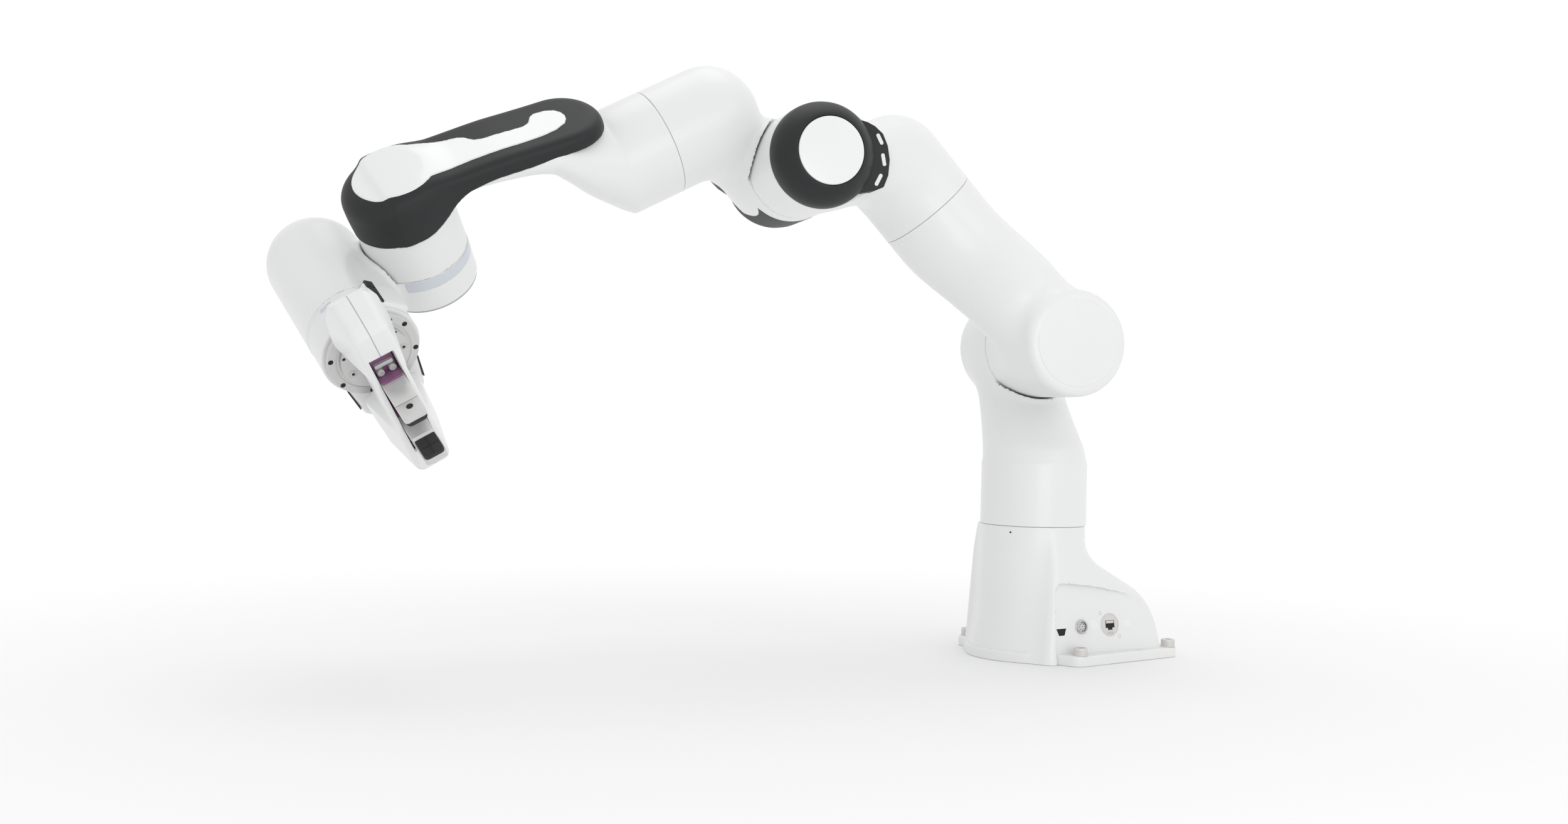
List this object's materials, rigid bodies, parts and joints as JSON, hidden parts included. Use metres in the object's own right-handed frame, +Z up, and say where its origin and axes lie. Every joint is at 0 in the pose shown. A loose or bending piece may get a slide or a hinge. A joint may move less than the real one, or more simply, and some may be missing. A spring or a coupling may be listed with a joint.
{
  "type": "robot arm",
  "caption": "Collaborative robot arm with turning joints on a bolted base, rounded white casings, dark covers and a parallel hand with sliding fingers.",
  "frame": {"origin": "centre of the column's round foot on the mounting face, on the first joint's axis", "axes": "+Z up along the first joint's axis, +X to the arm's front, +Y to the left side, where the sockets are"},
  "size_m": [0.8944, 0.4414, 0.6182],
  "materials": {
    "white_casing": "satin",
    "white_trim": "gloss",
    "dark_cover": "matte",
    "grey_plastic": "satin",
    "steel": "brushed",
    "aluminium": "satin",
    "black_rubber": "matte",
    "purple_plastic": "satin",
    "drive_steel": "machined"
  },
  "bodies": {
    "base": {"base_housing": "white_casing", "base_plate": "white_casing", "base_bolt_1": "steel", "base_bolt_2": "steel", "base_bolt_3": "steel", "base_bolt_4": "steel", "round_socket": "steel", "network_socket": "aluminium", "drive_1": "drive_steel"},
    "link_1": {"column_casing": "white_casing", "output_1": "drive_steel", "drive_2": "drive_steel"},
    "link_2": {"upper_arm_casing": "white_casing", "shoulder_cap": "white_trim", "output_2": "drive_steel", "drive_3": "drive_steel"},
    "link_3": {"elbow_casing_3": "white_casing", "elbow_cover_3": "dark_cover", "elbow_cap_3": "white_trim", "output_3": "drive_steel", "drive_4": "drive_steel"},
    "link_4": {"elbow_casing_4": "white_casing", "elbow_cover_4": "dark_cover", "elbow_cap_4": "white_trim", "output_4": "drive_steel", "drive_5": "drive_steel"},
    "link_5": {"forearm_casing": "white_casing", "forearm_inlay": "white_trim", "forearm_cover": "dark_cover", "output_5": "drive_steel", "drive_6": "drive_steel"},
    "link_6": {"wrist_casing": "white_casing", "wrist_band": "grey_plastic", "wrist_cap": "white_trim", "output_6": "drive_steel", "drive_7": "drive_steel"},
    "link_7": {"tool_body": "white_casing", "button_block": "white_casing", "tool_flange": "aluminium", "output_7": "drive_steel", "hand_adapter": "aluminium", "hand_shell_left": "white_casing", "hand_shell_right": "white_casing", "trough_liner": "purple_plastic", "hand_motor": "drive_steel", "pulley_far": "drive_steel", "pulley_near": "drive_steel", "belt_left": "black_rubber", "belt_right": "black_rubber"},
    "button_one": {"button_1": "dark_cover"},
    "button_two": {"button_2": "dark_cover"},
    "button_three": {"button_3": "dark_cover"},
    "finger_far_body": {"carriage_far": "aluminium", "finger_far": "aluminium", "pad_far": "black_rubber", "belt_clamp_far": "aluminium"},
    "finger_near_body": {"carriage_near": "aluminium", "finger_near": "aluminium", "pad_near": "black_rubber", "belt_clamp_near": "aluminium"}
  },
  "joints": [
    {"name": "base_turn", "type": "hinge", "parent": "base", "child": "link_1", "pos_m": [0, 0, 0.333], "axis": [0, 0, 1], "range_deg": [-145.5, 186.5]},
    {"name": "shoulder_pitch", "type": "hinge", "parent": "link_1", "child": "link_2", "pos_m": [0, 0, 0.333], "axis": [0.3502, 0.9367, 0], "range_deg": [-120.2, 57.8]},
    {"name": "upper_arm_roll", "type": "hinge", "parent": "link_2", "child": "link_3", "pos_m": [0.20262, -0.07576, 0.56335], "axis": [0.6412, -0.2397, 0.729], "range_deg": [-167.4, 164.6]},
    {"name": "elbow_bend", "type": "hinge", "parent": "link_3", "child": "link_4", "pos_m": [0.25964, -0.09492, 0.5069], "axis": [-0.3334, -0.9426, -0.0167], "range_deg": [-64.9, 71.1]},
    {"name": "forearm_roll", "type": "hinge", "parent": "link_4", "child": "link_5", "pos_m": [0.61589, -0.21899, 0.39756], "axis": [0.8328, -0.2862, -0.4739], "range_deg": [-214.5, 117.5]},
    {"name": "wrist_bend", "type": "hinge", "parent": "link_5", "child": "link_6", "pos_m": [0.61589, -0.21899, 0.39756], "axis": [-0.5519, -0.4958, -0.6705], "range_deg": [-72.6, 125.4]},
    {"name": "tool_turn", "type": "hinge", "parent": "link_6", "child": "link_7", "pos_m": [0.68915, -0.24367, 0.35551], "axis": [-0.0489, 0.8219, -0.5675], "range_deg": [-213.4, 118.6]},
    {"name": "finger_far_slide", "type": "slide", "parent": "link_7", "child": "finger_far_body", "axis": [-0.5863, -0.4837, -0.6499], "range_m": [-0.02, 0.02]},
    {"name": "finger_near_slide", "type": "slide", "parent": "link_7", "child": "finger_near_body", "axis": [0.5863, 0.4837, 0.6499], "range_m": [-0.02, 0.02]},
    {"name": "button_one_press", "type": "slide", "parent": "link_7", "child": "button_one", "axis": [0.1572, -0.5548, -0.817], "range_m": [0, 0.001], "stiffness_N_per_m": 800, "springref_m": -0.0005},
    {"name": "button_two_press", "type": "slide", "parent": "link_7", "child": "button_two", "axis": [0.1572, -0.5548, -0.817], "range_m": [0, 0.001], "stiffness_N_per_m": 800, "springref_m": -0.0005},
    {"name": "button_three_press", "type": "slide", "parent": "link_7", "child": "button_three", "axis": [0.1572, -0.5548, -0.817], "range_m": [0, 0.001], "stiffness_N_per_m": 800, "springref_m": -0.0005}
  ],
  "couplings": [
    {"joint": "finger_near_slide", "follows": "finger_far_slide", "ratio": 1}
  ]
}
